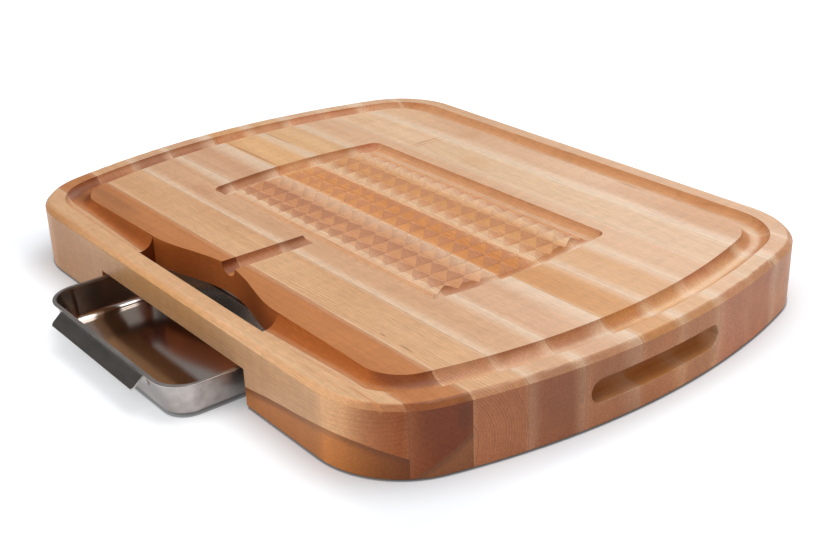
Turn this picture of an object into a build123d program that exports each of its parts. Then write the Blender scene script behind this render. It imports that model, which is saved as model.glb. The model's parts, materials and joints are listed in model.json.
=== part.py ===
from build123d import *
from math import cos, radians, sqrt, tan
import os

# A carving board of edge-grain maple with a steel pan that slides in under its front edge.
# Millimetres. The origin is on the counter under the middle of the board,
# +X runs to the right along the front edge, +Y to the back and +Z up.

# Board blank
board_length = 609.6
board_width = 466.0
board_thickness = 57.15
end_bow = 45.6            # how far each end bulges past a straight line between its corners
corner_radius = 76.2
top_bevel = 4.0
top_bevel_softening = 4.0  # round along the upper edge of the bevel
bottom_bevel = 1.5

# Staves from front to back, in the proportions that fill the board's width
stave_widths = (31.0, 41.0, 41.0, 47.0, 52.0, 44.5, 44.5, 42.0, 44.0, 43.5, 35.5)
butt_jointed_stave = 9
butt_joint_offset = 119.0  # to the left of the middle

# Juice groove that runs round the top, cut with a round-nosed cutter
groove_inset = 29.65      # from the board's edge to the middle of the groove
groove_cutter_radius = 12.7
groove_depth = 7.0
front_groove_depth = 11.5  # where the groove falls into the opening
cutter_dwell = 0.25       # how much more the cutter takes where it turns

# Field of pyramids and the groove round it
field_length = 334.8      # across the middle, between the outer edges of the groove
field_width = 190.5
field_cutter_radius = 9.525
field_groove_depth = 7.0
column_pitch = 19.05      # from pyramid to pyramid along the board
row_pitch = 19.4          # and across it
pyramid_height = 4.5
tip_depth = 0.5           # how far the tips stay under the top face

# Channel from the field to the drop opening
channel_width = 20.6
channel_depth = 10.0      # where it meets the opening
channel_start_depth = 6.8  # where it leaves the groove round the field

# Opening above the pan
opening_length = 194.0
opening_bow = 16.6        # how far its back edge swells past the juice groove

# Pocket under the front of the board
pocket_corner_radius = 16.0

# Finger grips in the two ends
grip_length = 136.0
grip_height = 20.0
grip_depth = 19.0
grip_bottom_round = 0.4 * grip_height

# Pan
pan_length = 215.0
pan_depth = 117.5
pan_height = 30.0
pan_corner_radius = 26.6
pan_draft = 11.0          # degrees that each wall leans out
pan_bottom_radius = 7.0
pan_wall = 1.0
lip_width = 2.2
lip_thickness = 1.2
lip_round = 0.5
pan_pulled_out = 57.5     # how far the front of the rim stands out of the board as shown

# Handle strip on the front of the pan
handle_length = 138.0
handle_thickness = 1.2
handle_reach = 10.4       # past the front of the rim
handle_drop = 7.8
handle_flange = 8.0       # the part that lies against the pan's wall
handle_corner_radius = 3.0

# Running clearances of the pan in its pocket
pan_side_clearance = 6.3
pan_top_clearance = 1.8
pan_back_clearance = 3.2

# Sizes that follow from those above
end_radius = (board_width ** 2 / 4 + end_bow ** 2) / (2 * end_bow)
front_y = -board_width / 2
groove_y = front_y + groove_inset
top_z = board_thickness
pocket_width = pan_length + 2 * pan_side_clearance
pocket_height = pan_height + pan_top_clearance
pocket_back_y = front_y + pan_depth + pan_back_clearance
rim_front_y = front_y - pan_pulled_out
past = 10.0               # how far a cut runs past the surface that it starts from


def bowed_plan(length, width, bow_radius):
    """Plan with straight long sides and two bowed ends."""
    bow_centre_x = length / 2 - bow_radius
    ends = [Pos(side * bow_centre_x, 0) * Circle(bow_radius) for side in (-1, 1)]
    return Rectangle(2 * length, width) & ends[0] & ends[1]


def board_plan():
    plan = bowed_plan(board_length, board_width, end_radius)
    return fillet(plan.vertices(), corner_radius)


def half_groove_width(depth, radius):
    return sqrt(radius ** 2 - (radius - depth) ** 2)


def cutter_height(depth, radius):
    """Height of the middle of a round-nosed cutter above the counter when it cuts to a depth."""
    return top_z - depth + radius


def cutter_run(path, radius):
    """Cut of a round-nosed cutter along a smooth path."""
    return sweep(Plane(origin=path @ 0, z_dir=path % 0) * Circle(radius), path=path)


def cutter_stop(vertex, radius):
    """Ball that a cutter leaves where it stops or turns."""
    return Pos(vertex.center()) * Sphere(radius + cutter_dwell)


def make_blank():
    blank = extrude(board_plan(), board_thickness)
    blank = chamfer(blank.faces().sort_by(Axis.Z)[-1].edges(), top_bevel)
    blank = fillet(blank.faces().sort_by(Axis.Z)[-1].edges(), top_bevel_softening)
    return chamfer(blank.faces().sort_by(Axis.Z)[0].edges(), bottom_bevel)


def juice_groove_cuts():
    """The groove round the top, and two runs along the front that fall from the corners to the opening."""
    radius = groove_cutter_radius
    ring = offset(board_plan(), -groove_inset).face().outer_wire()
    ring = Pos(0, 0, cutter_height(groove_depth, radius)) * ring
    corner = ring.edges().filter_by(GeomType.LINE).sort_by(Axis.Y)[0].bounding_box().max
    cuts = [cutter_run(ring, radius)]
    for side in (-1, 1):
        start = Vector(side * corner.X, groove_y, corner.Z + cutter_dwell)
        end = Vector(side * opening_length / 2, groove_y, cutter_height(front_groove_depth, radius))
        cuts.append(cutter_run(Line(start, end + (end - start).normalized() * past), radius))
    return cuts


def field_plan():
    """Middle line of the groove round the field; its ends run parallel to the board's."""
    half_groove = half_groove_width(field_groove_depth, field_cutter_radius)
    length = field_length - 2 * half_groove
    return bowed_plan(length, field_width - 2 * half_groove, end_radius - (board_length - length) / 2)


def field_groove_cuts():
    radius = field_cutter_radius
    path = Pos(0, 0, cutter_height(field_groove_depth, radius)) * field_plan()
    stops = [cutter_stop(corner, radius) for corner in path.vertices()]
    return stops + [cutter_run(edge, radius) for edge in path.edges()]


def ridge_section(length, pitch):
    """Section of the waste over a row of ridges: V-shaped cuts side by side."""
    tip_z = top_z - tip_depth
    last = int(length / pitch / 2) + 1
    points = [(-(last + 0.5) * pitch, tip_z)]
    for n in range(-last, last + 1):
        points += [(n * pitch, tip_z - pyramid_height), ((n + 0.5) * pitch, tip_z)]
    end_x = (last + 0.5) * pitch
    cover = [(end_x, top_z + past), (-end_x, top_z + past)]
    return Plane.XZ * make_face(Polyline(points + cover, close=True))


def pyramid_cuts():
    """V-shaped cuts along the field and across it, whose crossings leave the pyramids."""
    field = Pos(0, 0, top_z - field_groove_depth) * extrude(field_plan(), field_groove_depth + past)
    along_y = extrude(ridge_section(field_length, column_pitch), field_width, both=True)
    along_x = Rot(0, 0, 90) * extrude(ridge_section(field_width, row_pitch), field_length, both=True)
    return [along_y & field, along_x & field]


def channel_cut():
    """Round-bottomed channel that falls from the front of the field to the opening."""
    radius = (channel_width ** 2 / 4 + channel_depth ** 2) / (2 * channel_depth)
    start_y = half_groove_width(field_groove_depth, field_cutter_radius) - field_width / 2
    fall = Line(
        (0, start_y, cutter_height(channel_start_depth, radius)),
        (0, groove_y, cutter_height(channel_depth, radius)))
    return cutter_run(fall, radius)


def opening_cut():
    """Opening over the pan: straight in front, with a back edge that swells to the back in an ogee."""
    half_length = opening_length / 2
    half_groove = half_groove_width(front_groove_depth, groove_cutter_radius)
    near_y = groove_y - half_groove
    far_y = groove_y + half_groove
    swell = Spline(
        (half_length, far_y), (half_length / 2, far_y + opening_bow / 2), (0, far_y + opening_bow),
        (-half_length / 2, far_y + opening_bow / 2), (-half_length, far_y), tangents=((-1, 0), (-1, 0)))
    sides = Polyline(
        (-half_length, far_y), (-half_length, near_y), (half_length, near_y), (half_length, far_y))
    plan = Face(Wire([swell] + sides.edges()))
    return Pos(0, 0, pocket_height - past) * extrude(plan, top_z - pocket_height + 2 * past)


def pocket_cut():
    """Pocket for the pan, open to the front and below."""
    depth = pocket_back_y - front_y + past
    block = Pos(0, pocket_back_y - depth / 2, (pocket_height - past) / 2) * Box(
        pocket_width, depth, pocket_height + past)
    back_corners = block.edges().filter_by(Axis.Z).group_by(Axis.Y)[-1]
    return fillet(back_corners, pocket_corner_radius)


def grip_cut():
    """Finger grip in the right end: a slot with round ends and a rounded bottom."""
    grip = extrude(Plane.YZ * SlotOverall(grip_length, grip_height), grip_depth + past)
    grip = fillet(grip.faces().sort_by(Axis.X)[0].edges(), grip_bottom_round)
    return Pos(board_length / 2 - grip_depth, 0, board_thickness / 2) * grip


def make_board():
    """The whole carved board, one cut after another, before it is parted along its glue lines."""
    grip = grip_cut()
    cuts = juice_groove_cuts() + pyramid_cuts() + field_groove_cuts()
    cuts += [channel_cut(), opening_cut(), pocket_cut(), grip, Rot(0, 0, 180) * grip]
    board = make_blank()
    for cut in cuts:
        board -= cut
    return board


def slab(left_x, right_x, near_y, far_y):
    """Block higher than the board, between two joints across it and two along it."""
    middle = Pos((left_x + right_x) / 2, (near_y + far_y) / 2, board_thickness / 2)
    return middle * Box(right_x - left_x, far_y - near_y, board_thickness + 2 * past)


def make_staves():
    board = make_board()
    staves = {}
    end_x = board_length / 2 + past
    fill = board_width / sum(stave_widths)
    joints = [front_y + fill * sum(stave_widths[:count]) for count in range(1, len(stave_widths))]
    near_sides = [front_y - past] + joints
    far_sides = joints + [past - front_y]
    for number, (near_y, far_y) in enumerate(zip(near_sides, far_sides), start=1):
        name = f"stave_{number:02d}"
        if number == butt_jointed_stave:
            staves[name + "_left"] = board & slab(-end_x, -butt_joint_offset, near_y, far_y)
            staves[name + "_right"] = board & slab(-butt_joint_offset, end_x, near_y, far_y)
        else:
            staves[name] = board & slab(-end_x, end_x, near_y, far_y)
    return staves


def pan_block(shrink, floor_z, bottom_radius):
    """Solid block of the pan's outer or inner form, from its floor up to the rim."""
    lean = tan(radians(pan_draft))
    rim_inset = lip_width + shrink
    floor_inset = rim_inset + (pan_height - floor_z) * lean
    rim = Pos(0, 0, pan_height) * RectangleRounded(
        pan_length - 2 * rim_inset, pan_depth - 2 * rim_inset, pan_corner_radius - rim_inset)
    floor = Pos(0, 0, floor_z) * RectangleRounded(
        pan_length - 2 * floor_inset, pan_depth - 2 * floor_inset, pan_corner_radius - floor_inset)
    block = loft([floor, rim], ruled=True)
    return fillet(block.faces().sort_by(Axis.Z)[0].edges(), bottom_radius)


def make_pan():
    outer = pan_block(0.0, 0.0, pan_bottom_radius)
    inner = pan_block(pan_wall / cos(radians(pan_draft)), pan_wall, pan_bottom_radius - pan_wall)
    lip = Pos(0, 0, pan_height - lip_thickness) * extrude(
        RectangleRounded(pan_length, pan_depth, pan_corner_radius), lip_thickness)
    lip = fillet(lip.faces().sort_by(Axis.Z)[-1].edges(), lip_round)
    return Pos(0, rim_front_y + pan_depth / 2, 0) * (outer + lip - inner)


def make_handle():
    """Bent strip: up the pan's wall, out under the lip, and down in front of it."""
    lean = radians(pan_draft)
    half = handle_thickness / 2
    crest_z = pan_height - lip_thickness - half

    def beside_wall(z):
        return rim_front_y + lip_width + (pan_height - z) * tan(lean) - half / cos(lean), z

    middle = Polyline(
        beside_wall(crest_z - handle_flange),
        beside_wall(crest_z),
        (rim_front_y - half, crest_z),
        (rim_front_y - handle_reach + half, crest_z - handle_drop))
    section = Face(Wire(middle.edges()).offset_2d(half, kind=Kind.ARC, side=Side.BOTH))
    strip = extrude(Plane.YZ * section, handle_length / 2, both=True)
    space = strip.bounding_box()
    plan = Pos(space.center()) * Box(handle_length, space.size.Y, space.size.Z)
    front_corners = plan.edges().filter_by(Axis.Z).group_by(Axis.Y)[0]
    return strip & fillet(front_corners, handle_corner_radius)


os.makedirs("parts", exist_ok=True)
pieces = make_staves()
pieces["pan"] = make_pan()
pieces["pan_handle"] = make_handle()
for name, piece in pieces.items():
    export_step(piece, f"parts/{name}.step")
    print(name, len(piece.solids()), round(piece.volume))
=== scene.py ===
import json
import math
from functools import partial
import bpy
from mathutils import Matrix, Vector

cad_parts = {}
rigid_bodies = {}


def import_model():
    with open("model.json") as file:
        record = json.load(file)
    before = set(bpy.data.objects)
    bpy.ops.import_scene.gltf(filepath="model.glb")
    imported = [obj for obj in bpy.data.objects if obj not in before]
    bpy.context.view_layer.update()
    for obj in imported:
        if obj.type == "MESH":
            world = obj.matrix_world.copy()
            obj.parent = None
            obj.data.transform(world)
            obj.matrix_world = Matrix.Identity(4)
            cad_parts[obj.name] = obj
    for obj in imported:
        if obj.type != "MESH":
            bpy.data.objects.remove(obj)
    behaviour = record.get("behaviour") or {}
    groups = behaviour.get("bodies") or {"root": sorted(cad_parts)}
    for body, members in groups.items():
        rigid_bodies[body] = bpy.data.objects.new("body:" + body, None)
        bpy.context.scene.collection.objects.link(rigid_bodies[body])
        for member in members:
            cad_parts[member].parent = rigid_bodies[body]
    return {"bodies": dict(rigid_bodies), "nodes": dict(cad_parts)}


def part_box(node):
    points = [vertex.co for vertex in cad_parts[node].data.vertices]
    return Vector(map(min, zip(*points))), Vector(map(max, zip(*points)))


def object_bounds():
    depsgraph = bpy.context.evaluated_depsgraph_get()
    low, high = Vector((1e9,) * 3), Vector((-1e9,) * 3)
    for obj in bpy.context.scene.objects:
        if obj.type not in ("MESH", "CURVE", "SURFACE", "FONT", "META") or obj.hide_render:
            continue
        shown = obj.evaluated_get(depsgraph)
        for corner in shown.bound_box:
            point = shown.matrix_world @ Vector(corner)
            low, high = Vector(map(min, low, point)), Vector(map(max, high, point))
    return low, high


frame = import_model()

nodes = frame["nodes"]
kept = set(nodes.values()) | set(frame["bodies"].values())
for leftover in [obj for obj in bpy.context.scene.objects if obj not in kept]:
    bpy.data.objects.remove(leftover)
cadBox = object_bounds()
mm = 0.001
print("frame loaded:", len(nodes), "nodes")


def linear(hexColour):  # sRGB hex to the linear RGBA that a shader socket takes
    channels = [int(hexColour[i:i + 2], 16) / 255 for i in (1, 3, 5)]
    return [c / 12.92 if c <= 0.04045 else ((c + 0.055) / 1.055) ** 2.4 for c in channels] + [1.0]


# adds a node with its settings and links, and gives back its output socket
def addNode(tree, kind, inputs=None, output=0, stops=None, **settings):
    node = tree.nodes.new("ShaderNode" + kind)
    for name, value in settings.items():
        setattr(node, name, value)
    for socket, value in (inputs.items() if isinstance(inputs, dict) else enumerate(inputs or [])):
        if isinstance(value, bpy.types.NodeSocket):
            tree.links.new(value, node.inputs[socket])
        else:
            node.inputs[socket].default_value = linear(value) if isinstance(value, str) else value
    for i, (position, colour) in enumerate(stops or []):
        stop = node.color_ramp.elements[i] if i < 2 else node.color_ramp.elements.new(position)
        stop.position = position
        stop.color = colour
    return node.outputs[output] if node.outputs else None


def newMaterial(name):
    material = bpy.data.materials.new(name)
    material.use_nodes = True
    material.node_tree.nodes.clear()
    return material, partial(addNode, material.node_tree)


def grey(value):
    return [value, value, value, 1.0]


# Hard maple, planed and oiled: pale satin wood with thin growth rings, deeper and redder where end grain
# soaks oil up. A pattern's size is its length along and its width across the stave, its range the stretch
# of the noise that counts, and its step sets it off from the stave's own seed.
mapleFinish = {
    "sheen": 0.28,
    "roughness": (0.33, 0.47),
    "roughRange": (0.2, 0.8),
    "bumpStrength": 0.35,
    "bumpDepth": 0.06 * mm,
    "wander": (200 * mm, 50 * mm),    # how slowly the rings wander
    "wanderDetail": 1.5,
    "wanderDepth": 5 * mm,
    "cloud": (240 * mm, 24 * mm),     # slow change from deep to pale along and across a stave
    "cloudRange": (0.32, 0.68),
    "cloudShare": (0.1, 0.7),
    "ringLine": ((0.0, 0.2), (1.0, 0.2), (0.15, 0.0), (0.68, 0.2), (0.92, 1.0)),  # darkness across one ring
    "ringMood": (0.25, 1.0),          # weakest and strongest ring
    "sideLean": 0.7,                  # how much a plank leans sideways for its tilt
    "sapTone": "#e6cbb0",             # whiter sapwood in the pale bands beside the glue lines
    "sapShare": 0.85,
    "cut": (1.0, 0.82, 0.66),         # tint where a cut slopes through the grain and soaks up more oil
    "bandCut": (1.08, 1.0, 0.9),      # and in the pale bands
    "cutSlope": (0.98, 0.88),         # upward part of the normal where that starts and where it is full
    "cutInside": (5 * mm, 8 * mm),    # and how far in from the end face
    "endRamp": (0.05, 0.42, 0.64),    # turn to the end where end grain starts and is full, and its share
    "endUpright": (0.7, 0.97, 0.36),  # the rest of it, on a face that is nearly square to the stave
    "endBandTurn": (0.45, 0.95),      # the pale bands show less the more a face turns
    "endBandShare": (0.75, 0.32),
    "endCloud": (0.93, 1.07),
    "endRing": (1.08, 0.36),
    # painted light: the end grain is drawn paler near the counter, as if lit from the floor, up to this
    # height
    "endPaintedFloorLight": (1.07, 0.93),          # paler near the counter
    "endPaintedFloorLightHeight": 44 * mm,
    "heartEdge": 0.3 * mm,            # how sharply heartwood begins
    "heartRim": (6 * mm, 0.5 * mm),   # its dark rim fades out and is full this far inside
    "markReach": (1.0, 0.3),          # a mark begins at its outline and is full near its middle
    "glueLine": 0.4 * mm,
    "glueTone": 0.78,
    "play": {
        "fibre": {"size": (40 * mm, 0.8 * mm), "range": (0.3, 0.7), "tone": (0.93, 1.06),
                  "step": 0.0, "detail": 2.0},
        "pore": {"size": (9 * mm, 0.6 * mm), "range": (0.3, 0.7), "tone": (0.89, 1.09),
                 "step": 0.3, "detail": 1.0},
        "fleck": {"size": (5 * mm, 0.55 * mm), "range": (0.62, 0.78), "tone": (1.0, 0.86),
                  "step": 0.5, "detail": 1.0},
        "curl": {"size": (7 * mm, 45 * mm), "range": (0.3, 0.7), "tone": (0.965, 1.035),
                 "step": 0.8, "detail": 1.0},
    },
    # speckle of the end grain, drawn coarser than real so that it shows
    "endPore": {"size": (40 * mm, 1.6 * mm), "range": (0.3, 0.7), "tone": (0.89, 1.1),
                "step": 1.1, "detail": 1.0},
}

boardEnd = {"face": 304.8 * mm, "bow": 0.81}  # the ends bow back by 0.81 times y squared, in metres

# Routed finger grips in the two ends: left rougher than the outside, so they hold more oil and look
# golden brown. Their tone is also darkened as painted shade in the hollow, with painted light on the slot's
# floor and painted shade under its roof.
fingerGrip = {
    "height": 20 * mm,
    "tone": "#ad692b",
    "share": 0.58,
    # painted light and shade: the slot's floor is drawn lighter and its roof darker
    "shade": (1.15, 0.55),           # lighter floor, darker roof
    "mouth": (0.5 * mm, 1.5 * mm),   # depth behind the end face where the tone starts and where it is full
    "edge": (0.4 * mm, 0.2 * mm),    # the same above and below the slot
    "reach": 100 * mm,               # staves whose middle lies further from the board's middle have no grip
}

# One plank of wood for each stave. Pith is the middle of its tree, in mm across and up from the stave's own
# middle, and tilt how many degrees the plank leans against the tree; ringGap is in mm, and lines is how dark
# the rings are. Front and back are how pale it gets beside its two glue lines and over how many mm. A heart
# is darker wood under a plane through a point, and a mark is a soft patch, both placed in mm; most marks are
# wood tone, and those on the end grooves' walls and some on the tops are painted light and shade. Cut and
# endRamp replace those of the finish.
staves = {
    "stave_01": {
        "pale": "#e1b58a", "deep": "#d4a276", "line": "#b77d51", "ends": "#8a4212",
        "pith": (-20, 160), "ringGap": 3.4, "lines": 0.4, "tilt": 0.8, "seed": 1.3,
        "front": (0.3, 8), "back": (0.2, 6), "cut": (1.1, 0.97, 0.86), "endRamp": (0.05, 0.74, 0.92),
        "heart": {"at": (118, -233, 18), "normal": (-0.108, 0.557, 0.82),
                  "tone": "#cc7d3a", "ends": "#723a14", "edge": "#63371f", "rim": 0.6},
        "marks": [{"at": (240, -216, 55), "size": (38, 2, 5), "tone": "#c98552", "share": 0.6},
                  {"at": (205, -222, 56), "size": (55, 1.4, 5), "tone": "#cf9160", "share": 0.5},
                  {"at": (-220, -233, 34), "size": (160, 12, 60), "tone": "#be7c40", "share": 0.65},
                  {"at": (-20, -233, 48), "size": (150, 6, 30), "tone": "#dc9a50", "share": 0.55},
                  {"at": (215, -233, 44), "size": (110, 8, 26), "tone": "#dc9c60", "share": 0.35}],
    },
    "stave_02": {
        "pale": "#c5824c", "deep": "#ba733f", "line": "#97572d", "ends": "#723212",
        "pith": (60, 95), "ringGap": 4.5, "lines": 0.25, "tilt": 0.7, "seed": 2.1,
        "front": (0.1, 5), "back": (0.2, 6), "cut": (0.92, 0.72, 0.5),
        "heart": {"at": (290, -199, 1), "normal": (0, -0.607, 0.795),
                  "tone": "#c07a46", "ends": "#8a522e", "edge": "#54301f", "rim": 0.5},
        "marks": [{"at": (-205, -176, 57), "size": (85, 8, 12), "tone": "#8c5632", "share": 0.5},
                  # the next two marks are painted shade in the left part of the front groove
                  {"at": (-243, -186, 46), "size": (42, 26, 11), "tone": "#7a4424", "share": 0.55},
                  {"at": (-175, -187, 49), "size": (120, 14, 13), "tone": "#74401c", "share": 0.55},
                  {"at": (300, -166, 44), "size": (40, 13, 20), "tone": "#582d12", "share": 0.6}],
    },
    "stave_03": {
        "pale": "#e5b98e", "deep": "#d4a175", "line": "#ad774a", "ends": "#ad6a44",
        "pith": (-56, -13), "ringGap": 2.0, "lines": 0.85, "tilt": 0.15, "seed": 3.7,
        "front": (0.3, 4), "back": (0.3, 4),
        "marks": [{"at": (176, -155, 57), "size": (5, 1.0, 3), "tone": "#8a5636", "share": 0.8},
                  {"at": (203, -155, 57), "size": (12, 1.2, 3), "tone": "#8a5636", "share": 0.8},
                  # painted shade on the left groove's wall
                  {"at": (-259, -141, 47), "size": (19, 40, 10), "tone": "#9a5430", "share": 0.65},
                  # painted light on the right groove's wall
                  {"at": (259, -141, 49), "size": (17, 40, 9), "tone": "#e0a579", "share": 0.35},
                  {"at": (205, -141, 57), "size": (120, 34, 8), "tone": "#efcaa2", "share": 0.16}],
    },
    "stave_04": {
        "pale": "#dbae88", "deep": "#cc9b75", "line": "#b47e59", "ends": "#915637",
        "pith": (-170, 20), "ringGap": 2.2, "lines": 0.3, "tilt": 0.3, "seed": 4.2,
        "front": (0.7, 12), "back": (0.95, 13),
        "marks": [{"at": (-164, -101, 57), "size": (20, 13, 16), "tone": "#c98f6d", "share": 0.55},
                  # painted shade on the left groove's wall
                  {"at": (-268, -96, 47), "size": (19, 40, 10), "tone": "#8a4c32", "share": 0.4},
                  # painted light on the right groove's wall
                  {"at": (268, -96, 49), "size": (17, 40, 9), "tone": "#e2aa84", "share": 0.45}],
    },
    "stave_05": {
        "pale": "#deb390", "deep": "#ce9c77", "line": "#b57f5b", "ends": "#a36742",
        "pith": (190, -10), "ringGap": 2.0, "lines": 0.3, "tilt": 0.3, "seed": 5.9,
        "front": (0.3, 8), "back": (0.95, 24), "cut": (0.97, 0.75, 0.57),
        # painted shade on the left groove's wall
        "marks": [{"at": (-273, -50, 47), "size": (19, 40, 10), "tone": "#96563a", "share": 0.65}],
    },
    "stave_06": {
        "pale": "#e3b382", "deep": "#d19760", "line": "#a96b3a", "ends": "#b47145",
        "pith": (-120, 60), "ringGap": 2.8, "lines": 0.45, "tilt": 0.3, "seed": 6.1,
        "front": (0.35, 4), "back": (1, 14), "cut": (1.02, 0.79, 0.61),
        "marks": [{"at": (-215, -17.5, 57), "size": (70, 1.6, 8), "tone": "#a2622e", "share": 0.75},
                  {"at": (-235, -10, 57), "size": (60, 1.0, 8), "tone": "#c08a52", "share": 0.45},
                  {"at": (-215, 2, 57), "size": (110, 28, 8), "tone": "#efbd89", "share": 0.45},
                  {"at": (220, -3, 57), "size": (120, 32, 8), "tone": "#cb8a4c", "share": 0.6}],
    },
    "stave_07": {
        "pale": "#e0b68c", "deep": "#d5a372", "line": "#b98152", "ends": "#b6764a",
        "pith": (140, 60), "ringGap": 2.6, "lines": 0.35, "tilt": 0.3, "seed": 7.8,
        "front": (0.75, 10), "back": (0.9, 13),
        "marks": [{"at": (-238, 29, 57), "size": (40, 2, 8), "tone": "#a3704a", "share": 0.7},
                  # painted light: the top is drawn paler toward the left end
                  {"at": (-215, 40, 57), "size": (90, 22, 8), "tone": "#eec08c", "share": 0.35},
                  {"at": (281, 52, 36), "size": (9, 8, 7), "tone": "#3a2018", "share": 0.85},
                  # painted light on the right groove's wall
                  {"at": (273, 46, 49), "size": (17, 40, 9), "tone": "#eab67c", "share": 0.3},
                  {"at": (215, 46, 57), "size": (120, 34, 8), "tone": "#d29a68", "share": 0.45}],
    },
    "stave_08": {
        "pale": "#e2b995", "deep": "#d8aa84", "line": "#ba8660", "ends": "#bc754e",
        "pith": (-160, -20), "ringGap": 2.3, "lines": 0.3, "tilt": 0.4, "seed": 8.5,
        "front": (0.65, 10), "back": (0.25, 6),
        # painted light on the right groove's wall
        "marks": [{"at": (269, 89, 49), "size": (17, 40, 9), "tone": "#f0c492", "share": 0.5}],
    },
    "stave_09_left": {
        "pale": "#ebc6a2", "deep": "#e0b58e", "line": "#c28f66", "ends": "#b86e42",
        "pith": (40, -180), "ringGap": 3.2, "lines": 0.3, "tilt": 1.0, "seed": 9.1,
        "front": (0.25, 14), "back": (0.85, 10),
        "marks": [{"at": (-218, 128, 57), "size": (15, 13, 12), "tone": "#d2a478", "share": 0.4},
                  {"at": (-124, 132, 57), "size": (3, 26, 40), "tone": "#bd8458", "share": 0.6},
                  {"at": (-118.6, 132, 40), "size": (1.0, 40, 60), "tone": "#a86c44", "share": 0.8}],
    },
    "stave_09_right": {
        "pale": "#e1bd96", "deep": "#dab18c", "line": "#be8d66", "ends": "#b86e42",
        "pith": (-50, 200), "ringGap": 3.0, "lines": 0.3, "tilt": 0.9, "seed": 9.8,
        "front": (0.25, 14), "back": (0.85, 10),
        "marks": [{"at": (-46, 130, 57), "size": (28, 17, 14), "tone": "#d3a478", "share": 0.55},
                  {"at": (289, 151, 56), "size": (9, 1.2, 5), "tone": "#5d3520", "share": 0.9},
                  # painted light on the right groove's wall
                  {"at": (261, 132, 49), "size": (17, 40, 9), "tone": "#ecba84", "share": 0.4}],
    },
    "stave_10": {
        "pale": "#e3b996", "deep": "#d4a680", "line": "#b8825c", "ends": "#c27d4d",
        "pith": (120, -120), "ringGap": 2.6, "lines": 0.3, "tilt": 0.6, "seed": 10.6,
        "front": (0.9, 13), "back": (0.6, 5),
        "marks": [{"at": (-110, 180, 57), "size": (18, 20, 14), "tone": "#cb976d", "share": 0.55},
                  {"at": (98, 178, 57), "size": (32, 15, 14), "tone": "#d09c78", "share": 0.5},
                  {"at": (98, 190, 57), "size": (28, 2.5, 8), "tone": "#a87048", "share": 0.6},
                  # painted light: the top is drawn paler toward the left end
                  {"at": (-215, 176, 57), "size": (80, 30, 10), "tone": "#ecc096", "share": 0.35},
                  {"at": (190, 180, 57), "size": (110, 30, 10), "tone": "#c89062", "share": 0.65}],
    },
    "stave_11": {
        "pale": "#dfb794", "deep": "#d3a379", "line": "#b27c52", "ends": "#c27d4d",
        "pith": (-90, 130), "ringGap": 2.8, "lines": 0.35, "tilt": 0.5, "seed": 11.2,
        "front": (0.2, 6), "back": (0.4, 6),
        "marks": [],
    },
}

seedStep = (7.31, 3.17, 5.77)  # each seed takes its noise from another place


# noise stretched along X: size is (along, across)
def grain(add, place, size, seed, detail=2.0, output="Fac"):
    stretched = add("Mapping", {"Vector": place, "Location": [seed * step for step in seedStep],
                                "Scale": (1 / size[0], 1 / size[1], 1 / size[1])})
    return add("TexNoise", {"Vector": stretched, "Scale": 1.0, "Detail": detail}, output)


def inMetres(place):
    return [c * mm for c in place]


def growthRings(add, bent, middle, wood):  # a thin dark latewood line in each ring round the pith
    across, up = wood["pith"]
    pithPlace = (0, -middle.y - across * mm, -middle.z - up * mm)
    turn = (0, math.radians(wood["tilt"]), math.radians(wood["tilt"] * mapleFinish["sideLean"]))
    log = add("Mapping", {"Vector": bent, "Location": pithPlace, "Rotation": turn})
    log = add("VectorMath", [log, (0, 1, 1)], operation="MULTIPLY")
    radius = add("VectorMath", [log], "Value", operation="LENGTH")
    ring = add("Math", [radius, wood["ringGap"] * mm], operation="DIVIDE")
    ringLine = add("ValToRGB", [add("Math", [ring], operation="FRACT")],
                   stops=[(position, grey(dark)) for position, dark in mapleFinish["ringLine"]])
    weakest, strongest = mapleFinish["ringMood"]
    ringNumber = add("Math", [ring], operation="FLOOR")
    ringMood = add("TexWhiteNoise", {"W": ringNumber}, "Value", noise_dimensions="1D")
    ringMood = add("MapRange", {"Value": ringMood, "To Min": weakest, "To Max": strongest})
    ringLine = add("Math", [ringLine, ringMood], operation="MULTIPLY")
    return add("Math", [ringLine, wood["lines"]], operation="MULTIPLY")


def paleBands(add, bent, low, high, wood):  # beside the two glue lines
    bentY = add("SeparateXYZ", [bent], "Y")
    sides = []
    for edge, inward, (share, reach) in ((low.y, 1, wood["front"]), (high.y, -1, wood["back"])):
        inner = edge + inward * reach * mm
        sides.append(add("MapRange", {"Value": bentY, "From Min": inner, "From Max": edge, "To Max": share},
                         interpolation_type="SMOOTHSTEP"))
    return add("Math", sides, operation="MAXIMUM")


def oiledCuts(add, tone, band, normal, outward, wood):  # sloping cuts inside the edge take more oil
    flat, steep = mapleFinish["cutSlope"]
    shallow, deep = mapleFinish["cutInside"]
    slope = add("MapRange", {"Value": add("SeparateXYZ", [normal], "Z"), "From Min": flat, "From Max": steep},
                interpolation_type="SMOOTHSTEP")
    inside = add("MapRange", {"Value": outward, "From Min": boardEnd["face"] - shallow,
                              "From Max": boardEnd["face"] - deep})
    slope = add("Math", [slope, inside], operation="MULTIPLY")
    cut = wood.get("cut", mapleFinish["cut"])
    cutTint = add("MixRGB", [band, [*cut, 1.0], [*mapleFinish["bandCut"], 1.0]])
    return add("MixRGB", [slope, tone, add("VectorMath", [tone, cutTint], operation="MULTIPLY")])


def endGrainShare(add, facing, wood):  # grows as a face turns to look along the stave
    share = []
    for start, full, most in (wood.get("endRamp", mapleFinish["endRamp"]), mapleFinish["endUpright"]):
        share.append(add("MapRange", {"Value": facing, "From Min": start, "From Max": full, "To Max": most},
                         interpolation_type="SMOOTHSTEP"))
    return add("Math", share, operation="ADD")


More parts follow.
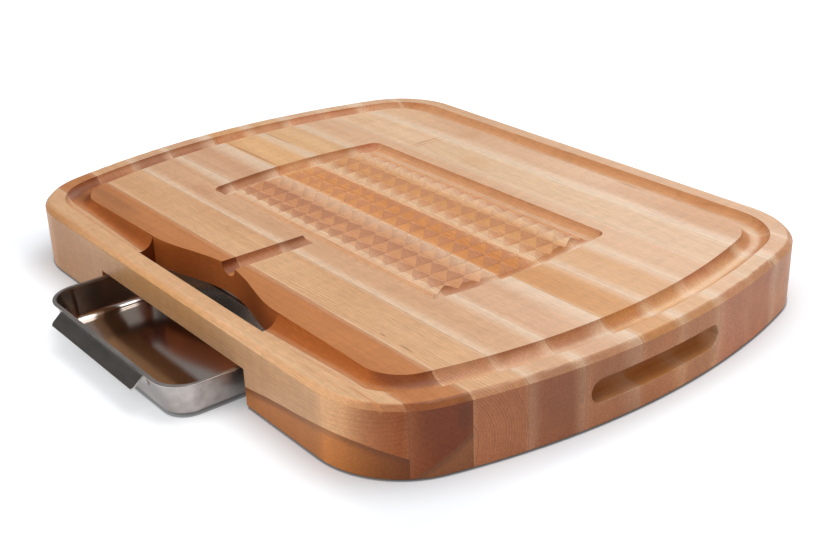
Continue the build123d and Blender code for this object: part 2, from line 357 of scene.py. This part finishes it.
# deeper than the planed sides, with the same bands and darker rings, and with painted light that
# makes it paler near the counter
def endGrainTone(add, facing, band, cloud, lineShare, placeZ, wood):
    finish = mapleFinish
    (start, full), (most, least) = finish["endBandTurn"], finish["endBandShare"]
    bandShare = add("MapRange", {"Value": facing, "From Min": start, "From Max": full,
                                 "To Min": most, "To Max": least})
    tone = add("MixRGB", [add("Math", [band, bandShare], operation="MULTIPLY"), wood["ends"], wood["pale"]])
    fades = ((cloud, finish["cloudShare"], finish["endCloud"]),
             (placeZ, (0.0, finish["endPaintedFloorLightHeight"]), finish["endPaintedFloorLight"]),
             (lineShare, (0.0, 1.0), finish["endRing"]))
    for pattern, (start, stop), (first, last) in fades:
        fade = add("MapRange", {"Value": pattern, "From Min": start, "From Max": stop,
                                "To Min": first, "To Max": last})
        tone = add("VectorMath", {0: tone, "Scale": fade}, operation="SCALE")
    return tone


def heartwood(add, bent, tone, endTone, heart):  # darker heartwood under a slanting line, darkest along it
    edge = mapleFinish["heartEdge"]
    fading, full = mapleFinish["heartRim"]
    fromLine = add("VectorMath", [bent, inMetres(heart["at"])], operation="SUBTRACT")
    depth = add("VectorMath", [fromLine, heart["normal"]], "Value", operation="DOT_PRODUCT")
    inHeart = add("MapRange", {"Value": depth, "From Min": edge, "From Max": -edge})
    rim = add("MapRange", {"Value": depth, "From Min": -fading, "From Max": -full, "To Max": heart["rim"]},
              interpolation_type="SMOOTHSTEP")
    rim = add("Math", [rim, inHeart], operation="MULTIPLY")
    tone = add("MixRGB", [rim, add("MixRGB", [inHeart, tone, heart["tone"]]), heart["edge"]])
    endTone = add("MixRGB", [rim, add("MixRGB", [inHeart, endTone, heart["ends"]]), heart["edge"]])
    return tone, endTone


# soft patches of wood tone; some of them are painted light and painted shade
def softMarks(add, bent, tone, marks):
    outline, full = mapleFinish["markReach"]
    for mark in marks:
        offset = add("VectorMath", [bent, inMetres(mark["at"])], operation="SUBTRACT")
        offset = add("VectorMath", [offset, inMetres(mark["size"])], operation="DIVIDE")
        reach = add("VectorMath", [offset], "Value", operation="LENGTH")
        share = add("MapRange", {"Value": reach, "From Min": outline, "From Max": full,
                                 "To Max": mark["share"]}, interpolation_type="SMOOTHSTEP")
        tone = add("MixRGB", [share, tone, mark["tone"]])
    return tone


# golden brown wood with painted shade in the slot, lighter at its floor and darker at its roof
def gripInside(add, tone, outward, placeZ, middle):  # behind the bowed end face, between the slot's edges
    halfSlot = fingerGrip["height"] / 2
    mouth, inner = fingerGrip["mouth"]
    outer, edge = fingerGrip["edge"]
    light, dark = fingerGrip["shade"]
    behind = add("MapRange", {"Value": outward, "From Min": boardEnd["face"] - mouth,
                              "From Max": boardEnd["face"] - inner, "To Max": fingerGrip["share"]})
    height = add("Math", [add("Math", [placeZ, middle.z], operation="SUBTRACT")], operation="ABSOLUTE")
    inSlot = add("MapRange", {"Value": height, "From Min": halfSlot + outer, "From Max": halfSlot + edge})
    shade = add("MapRange", {"Value": placeZ, "From Min": middle.z - halfSlot,
                             "From Max": middle.z + halfSlot, "To Min": light, "To Max": dark})
    gripTone = add("VectorMath", {0: linear(fingerGrip["tone"])[:3], "Scale": shade}, operation="SCALE")
    return add("MixRGB", [add("Math", [behind, inSlot], operation="MULTIPLY"), tone, gripTone])


def mapleMaterial(node, wood):
    material, add = newMaterial("oiledMaple_" + node)
    low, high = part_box(node)
    middle = (low + high) / 2
    finish, seed = mapleFinish, wood["seed"]
    place = add("TexCoord", output="Object")
    placeX, placeY, placeZ = (add("SeparateXYZ", [place], axis) for axis in "XYZ")
    normal = add("NewGeometry", output="Normal")
    facing = add("Math", [add("SeparateXYZ", [normal], "X")], operation="ABSOLUTE")

    # the grain wanders a little along the stave
    wander = grain(add, place, finish["wander"], seed, finish["wanderDetail"], "Color")
    wander = add("VectorMath", [wander, (0.5, 0.5, 0.5)], operation="SUBTRACT")
    wander = add("VectorMath", {0: wander, "Scale": 2 * finish["wanderDepth"]}, operation="SCALE")
    bent = add("VectorMath", [place, wander], operation="ADD")

    # how far out a point lies: the bowed end faces are all at the same distance
    squared = add("Math", [placeY, placeY], operation="MULTIPLY")
    bow = add("Math", [squared, boardEnd["bow"]], operation="MULTIPLY")
    outward = add("Math", [add("Math", [placeX], operation="ABSOLUTE"), bow], operation="ADD")

    # from deep to pale in slow clouds, with pale bands beside the glue lines, then the rings
    band = paleBands(add, bent, low, high, wood)
    (start, stop), (least, most) = finish["cloudRange"], finish["cloudShare"]
    cloud = grain(add, place, finish["cloud"], seed)
    cloud = add("MapRange", {"Value": cloud, "From Min": start, "From Max": stop, "To Min": least,
                             "To Max": most}, interpolation_type="SMOOTHSTEP")
    paleShare = add("Math", [band, cloud], operation="ADD", use_clamp=True)
    tone = add("MixRGB", [paleShare, wood["deep"], wood["pale"]])
    sap = add("Math", [band, finish["sapShare"]], operation="MULTIPLY")
    tone = add("MixRGB", [sap, tone, finish["sapTone"]])
    lineShare = growthRings(add, bent, middle, wood)
    tone = add("MixRGB", [lineShare, tone, wood["line"]])
    tone = oiledCuts(add, tone, band, normal, outward, wood)

    endShare = endGrainShare(add, facing, wood)
    endTone = endGrainTone(add, facing, band, cloud, lineShare, placeZ, wood)
    if "heart" in wood:
        tone, endTone = heartwood(add, bent, tone, endTone, wood["heart"])
    tone = add("MixRGB", [endShare, tone, endTone])
    tone = softMarks(add, bent, tone, wood["marks"])

    # fibres, pores, ray flecks and faint curl play over it, and speckle over the end grain
    patterns = {}
    for name, pattern in [*finish["play"].items(), ("endPore", finish["endPore"])]:
        (start, stop), (first, last) = pattern["range"], pattern["tone"]
        patterns[name] = grain(add, place, pattern["size"], seed + pattern["step"], pattern["detail"])
        fade = add("MapRange", {"Value": patterns[name], "From Min": start, "From Max": stop,
                                "To Min": first, "To Max": last})
        played = add("VectorMath", {0: tone, "Scale": fade}, operation="SCALE")
        tone = add("MixRGB", [endShare, tone, played]) if name == "endPore" else played
    fibre = patterns["fibre"]

    # a thin glue line closes each side
    halfWidth = (high.y - low.y) / 2
    fromMiddle = add("Math", [add("Math", [placeY, middle.y], operation="SUBTRACT")], operation="ABSOLUTE")
    glue = add("MapRange", {"Value": fromMiddle, "From Min": halfWidth - finish["glueLine"],
                            "From Max": halfWidth, "To Min": 1.0, "To Max": finish["glueTone"]})
    tone = add("VectorMath", {0: tone, "Scale": glue}, operation="SCALE")
    if abs(middle.y) < fingerGrip["reach"]:
        tone = gripInside(add, tone, outward, placeZ, middle)

    (start, stop), (smooth, rough) = finish["roughRange"], finish["roughness"]
    roughness = add("MapRange", {"Value": fibre, "From Min": start, "From Max": stop,
                                 "To Min": smooth, "To Max": rough})
    bump = add("Bump", {"Height": fibre, "Strength": finish["bumpStrength"], "Distance": finish["bumpDepth"]})
    shader = add("BsdfPrincipled", {"Base Color": tone, "Roughness": roughness, "Normal": bump,
                                    "Specular IOR Level": finish["sheen"]})
    add("OutputMaterial", {"Surface": shader})
    return material


for node, wood in staves.items():
    nodes[node].material_slots[0].material = mapleMaterial(node, wood)
print("maple staves:", len(staves))

# Drawn stainless steel, polished inside and satin outside: mirror-like floor, fine draw marks on the walls.
panSteel = {
    "tint": "#b0a8a4",
    "insideTint": "#c6bdb6",
    "roughness": (0.14, 0.34),        # inside and outside
    "outsideFrom": 10 * mm,           # a wall that faces away from the pan's middle is satin this far out
    "rimFrom": (0.92, 0.96),          # share of the pan's height where its satin rim begins
    "drawMark": (2.0 * mm, 2.0 * mm),
    "markSeed": 0.4,
    "markRough": (0.8, 1.2),
    "markStrength": 0.03,
    "markDepth": 0.05 * mm,
    "rub": (26 * mm, 9 * mm),         # dull rubbed patches on the outside
    "rubSeed": 1.7,
    "rubRange": (0.35, 0.65),
    "rubTone": (0.86, 1.1),
}


def rubbedTint(add, place, steel):  # duller and brighter patches from handling
    (start, stop), (dark, light) = steel["rubRange"], steel["rubTone"]
    rub = grain(add, place, steel["rub"], steel["rubSeed"])
    rub = add("MapRange", {"Value": rub, "From Min": start, "From Max": stop,
                           "To Min": dark, "To Max": light})
    return add("VectorMath", {0: linear(steel["tint"])[:3], "Scale": rub}, operation="SCALE")


def drawnSteelMaterial():
    steel = panSteel
    material, add = newMaterial("drawnStainlessSteel")
    low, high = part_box("pan")
    place = add("TexCoord", output="Object")
    panMiddle = ((low.x + high.x) / 2, (low.y + high.y) / 2, 0)
    outward = add("VectorMath", [place, panMiddle], operation="SUBTRACT")
    level = add("VectorMath", [add("NewGeometry", output="Normal"), (1, 1, 0)], operation="MULTIPLY")
    facing = add("VectorMath", [outward, level], "Value", operation="DOT_PRODUCT")
    outside = add("MapRange", {"Value": facing, "From Max": steel["outsideFrom"]})
    start, full = steel["rimFrom"]
    rim = add("MapRange", {"Value": add("SeparateXYZ", [place], "Z"), "From Min": start * high.z,
                           "From Max": full * high.z})
    satin = add("Math", [outside, rim], operation="MAXIMUM")

    marks = grain(add, place, steel["drawMark"], steel["markSeed"])
    (polished, dull), (smooth, rough) = steel["roughness"], steel["markRough"]
    gloss = add("MapRange", {"Value": satin, "To Min": polished, "To Max": dull})
    markGloss = add("MapRange", {"Value": marks, "To Min": smooth, "To Max": rough})
    roughness = add("Math", [gloss, markGloss], operation="MULTIPLY")
    bump = add("Bump", {"Height": marks, "Strength": steel["markStrength"], "Distance": steel["markDepth"]})
    tint = add("MixRGB", [satin, steel["insideTint"], rubbedTint(add, place, steel)])
    shader = add("BsdfPrincipled", {"Base Color": tint, "Metallic": 1.0, "Roughness": roughness,
                                    "Normal": bump})
    add("OutputMaterial", {"Surface": shader})
    return material


nodes["pan"].material_slots[0].material = drawnSteelMaterial()

# Rolled stainless strip, brushed along its length: dark satin grey with fine lines.
handleSteel = {
    "tint": "#b3aca6",
    "roughness": (0.26, 0.46),
    "brush": (30 * mm, 0.45 * mm),
    "brushSeed": 0.9,
    "brushStrength": 0.1,
    "brushDepth": 0.05 * mm,
    "rub": (22 * mm, 7 * mm),
    "rubSeed": 2.3,
    "rubRange": (0.35, 0.65),
    "rubTone": (0.9, 1.1),
}


def brushedStripMaterial():
    steel = handleSteel
    material, add = newMaterial("brushedSteelStrip")
    place = add("TexCoord", output="Object")
    brush = grain(add, place, steel["brush"], steel["brushSeed"])
    smooth, rough = steel["roughness"]
    roughness = add("MapRange", {"Value": brush, "To Min": smooth, "To Max": rough})
    bump = add("Bump", {"Height": brush, "Strength": steel["brushStrength"], "Distance": steel["brushDepth"]})
    tint = rubbedTint(add, place, steel)
    shader = add("BsdfPrincipled", {"Base Color": tint, "Metallic": 1.0, "Roughness": roughness,
                                    "Normal": bump})
    add("OutputMaterial", {"Surface": shader})
    return material


nodes["pan_handle"].material_slots[0].material = brushedStripMaterial()
print("steel pan and handle")

# Matt white paper that keeps a soft shadow. Its glow is seen, also in reflections and through glass, but
# doesn't light the wood. A thin contact shadow where the board stands on it is painted in from ambient
# occlusion.
paperFloor = {
    "size": 14.0,
    "drop": 0.4 * mm,                # below the board's underside
    "tone": "#f0f4f8",               # with a trace of blue whitener
    "glow": (0.12, 0.36),            # beside the board, and out on the open floor
    "glowStart": 0.1 * mm,           # none under the board
    "glowReach": 50 * mm,            # distance from the board at which the open floor begins
    "farGlow": 0.8,                  # added where the lamps no longer reach
    "farReach": (0.5, 3.0),
    # painted shadow: ambient occlusion darkens the paper and its glow in a thin line where the wood meets it
    "contactReach": 4.5 * mm,        # thin dark line where the wood meets the paper
    "contactOpen": (0.5, 0.64),      # share of open sky at which it is darkest and at which it ends
    "paintedShadowTone": 0.35,
}


def buildFloor():
    bpy.ops.object.select_all(action="DESELECT")
    bpy.ops.mesh.primitive_plane_add(size=paperFloor["size"], location=(0, 0, -paperFloor["drop"]))
    floor = bpy.context.object
    floor.name = "studioFloor"
    bpy.ops.object.transform_apply(location=True, rotation=True, scale=True)
    material, add = newMaterial("whitePaperSweep")

    # distance from the board's box
    corner = cadBox[1]
    fromMiddle = add("VectorMath", [add("TexCoord", output="Object")], operation="ABSOLUTE")
    beyond = add("VectorMath", [fromMiddle, (corner.x, corner.y, 0)], operation="SUBTRACT")
    beyond = add("VectorMath", [beyond, (0, 0, 0)], operation="MAXIMUM")
    away = add("VectorMath", [beyond], "Value", operation="LENGTH")

    near, far = paperFloor["glow"]
    glow = add("MapRange", {"Value": away, "From Max": paperFloor["glowReach"], "To Min": near,
                            "To Max": far}, interpolation_type="SMOOTHSTEP")
    start, full = paperFloor["farReach"]
    distant = add("MapRange", {"Value": away, "From Min": start, "From Max": full,
                               "To Max": paperFloor["farGlow"]})
    glow = add("Math", [glow, distant], operation="ADD")
    beside = add("Math", [away, paperFloor["glowStart"]], operation="GREATER_THAN")
    glow = add("Math", [glow, beside], operation="MULTIPLY")
    seen = add("LightPath", output="Is Camera Ray")
    for ray in ("Is Glossy Ray", "Is Transmission Ray"):
        seen = add("Math", [seen, add("LightPath", output=ray)], operation="MAXIMUM")
    glow = add("Math", [glow, seen], operation="MULTIPLY")

    # painted contact shadow, darkest where the wood meets the paper
    dark, light = paperFloor["contactOpen"]
    paintedContactShadow = add("AmbientOcclusion", {"Distance": paperFloor["contactReach"]}, "AO")
    paintedContactShadow = add("MapRange", {"Value": paintedContactShadow, "From Min": dark, "From Max": light,
                                "To Min": paperFloor["paintedShadowTone"]})
    glow = add("Math", [glow, paintedContactShadow], operation="MULTIPLY")
    tone = add("VectorMath", {0: linear(paperFloor["tone"])[:3], "Scale": paintedContactShadow}, operation="SCALE")
    paper = add("BsdfDiffuse", {"Color": tone})
    lift = add("Emission", {"Color": grey(1.0), "Strength": glow})
    add("OutputMaterial", {"Surface": add("AddShader", [paper, lift])})
    floor.data.materials.append(material)


# Studio room with a pale ceiling: a softbox overhead, a fill in front and a softbox behind on the left.
studio = {
    "horizon": 0.22,
    "ceiling": 0.5,
    "rise": (0.2, 0.85),             # upward part of the direction where the ceiling begins and is full
    "darkSide": 0.3,                 # in reflections the front of the room is dark
    "sideTurn": (-0.3, 0.3),
    "paperTop": (0.18, 0.08),        # and white paper stands low behind the board
    "lamps": {
        "overhead": {"place": (0.2, 0.55, 2.2), "size": 1.7, "watts": 26.0},
        "frontFill": {"place": (0.9, -1.6, 1.0), "size": 2.2, "watts": 18.0, "mirrored": False},
        "backSoftbox": {"place": (-1.9, 3.4, 2.2), "size": 2.0, "watts": 30.0},
    },
}


def buildRoom():
    world = bpy.data.worlds.new("studioRoom")
    world.use_nodes = True
    bpy.context.scene.world = world
    world.node_tree.nodes.clear()
    add = partial(addNode, world.node_tree)
    toward = add("TexCoord", output="Generated")
    up = add("SeparateXYZ", [toward], "Z")
    start, full = studio["rise"]
    room = add("MapRange", {"Value": up, "From Min": start, "From Max": full, "To Min": studio["horizon"],
                            "To Max": studio["ceiling"]}, interpolation_type="SMOOTHSTEP")

    front, back = studio["sideTurn"]
    top, bottom = studio["paperTop"]
    backward = add("SeparateXYZ", [toward], "Y")
    behind = add("MapRange", {"Value": backward, "From Min": front, "From Max": back})
    paper = add("MapRange", {"Value": up, "From Min": top, "From Max": bottom})
    paper = add("Math", [paper, behind], operation="MULTIPLY")
    dimmed = add("MapRange", {"Value": behind, "To Min": studio["darkSide"], "To Max": 1.0})
    mirrored = add("Math", [add("Math", [room, dimmed], operation="MULTIPLY"), paper], operation="MAXIMUM")
    room = add("Mix", {"Factor": add("LightPath", output="Is Glossy Ray"), "A": room, "B": mirrored})

    direct = [add("LightPath", output=ray) for ray in ("Is Camera Ray", "Is Transmission Ray")]
    seen = add("Math", direct, operation="MAXIMUM")
    strength = add("Mix", {"Factor": seen, "A": room, "B": 1.0})
    add("OutputWorld", {"Surface": add("Background", {"Color": grey(1.0), "Strength": strength})})


def hangLamps():
    for name, lamp in studio["lamps"].items():
        light = bpy.data.lights.new(name, "AREA")
        light.size = lamp["size"]
        light.energy = lamp["watts"]
        stand = bpy.data.objects.new(name, light)
        stand.location = lamp["place"]
        stand.rotation_euler = (-Vector(lamp["place"])).to_track_quat("-Z", "Y").to_euler()
        stand.visible_camera = False
        stand.visible_glossy = lamp.get("mirrored", True)
        bpy.context.scene.collection.objects.link(stand)


buildFloor()
buildRoom()
hangLamps()
print("studio")

# Camera, solved from the board's outline, its stave joints and its pyramids; angles in degrees.
view = {
    "place": (816.6 * mm, -622.15 * mm, 474.38 * mm),
    "yaw": -51.93,
    "pitch": 25.24,
    "roll": -1.78,
    "lens": 54.26,
    "sensor": 36.0,
}


def buildCamera():
    yaw, pitch, roll = (math.radians(view[angle]) for angle in ("yaw", "pitch", "roll"))
    forward = Vector((math.sin(yaw) * math.cos(pitch), math.cos(yaw) * math.cos(pitch), -math.sin(pitch)))
    right = Vector((math.cos(yaw), -math.sin(yaw), 0))
    up = right.cross(forward)
    rolledRight = right * math.cos(roll) + up * math.sin(roll)
    rolledUp = up * math.cos(roll) - right * math.sin(roll)
    lens = bpy.data.cameras.new("photoView")
    lens.lens = view["lens"]
    lens.sensor_width = view["sensor"]
    camera = bpy.data.objects.new("photoView", lens)
    turn = Matrix((rolledRight, rolledUp, -forward)).transposed().to_4x4()
    camera.matrix_world = Matrix.Translation(view["place"]) @ turn
    bpy.context.scene.collection.objects.link(camera)
    bpy.context.scene.camera = camera


buildCamera()
bpy.context.scene.view_settings.view_transform = "Standard"
print("camera")
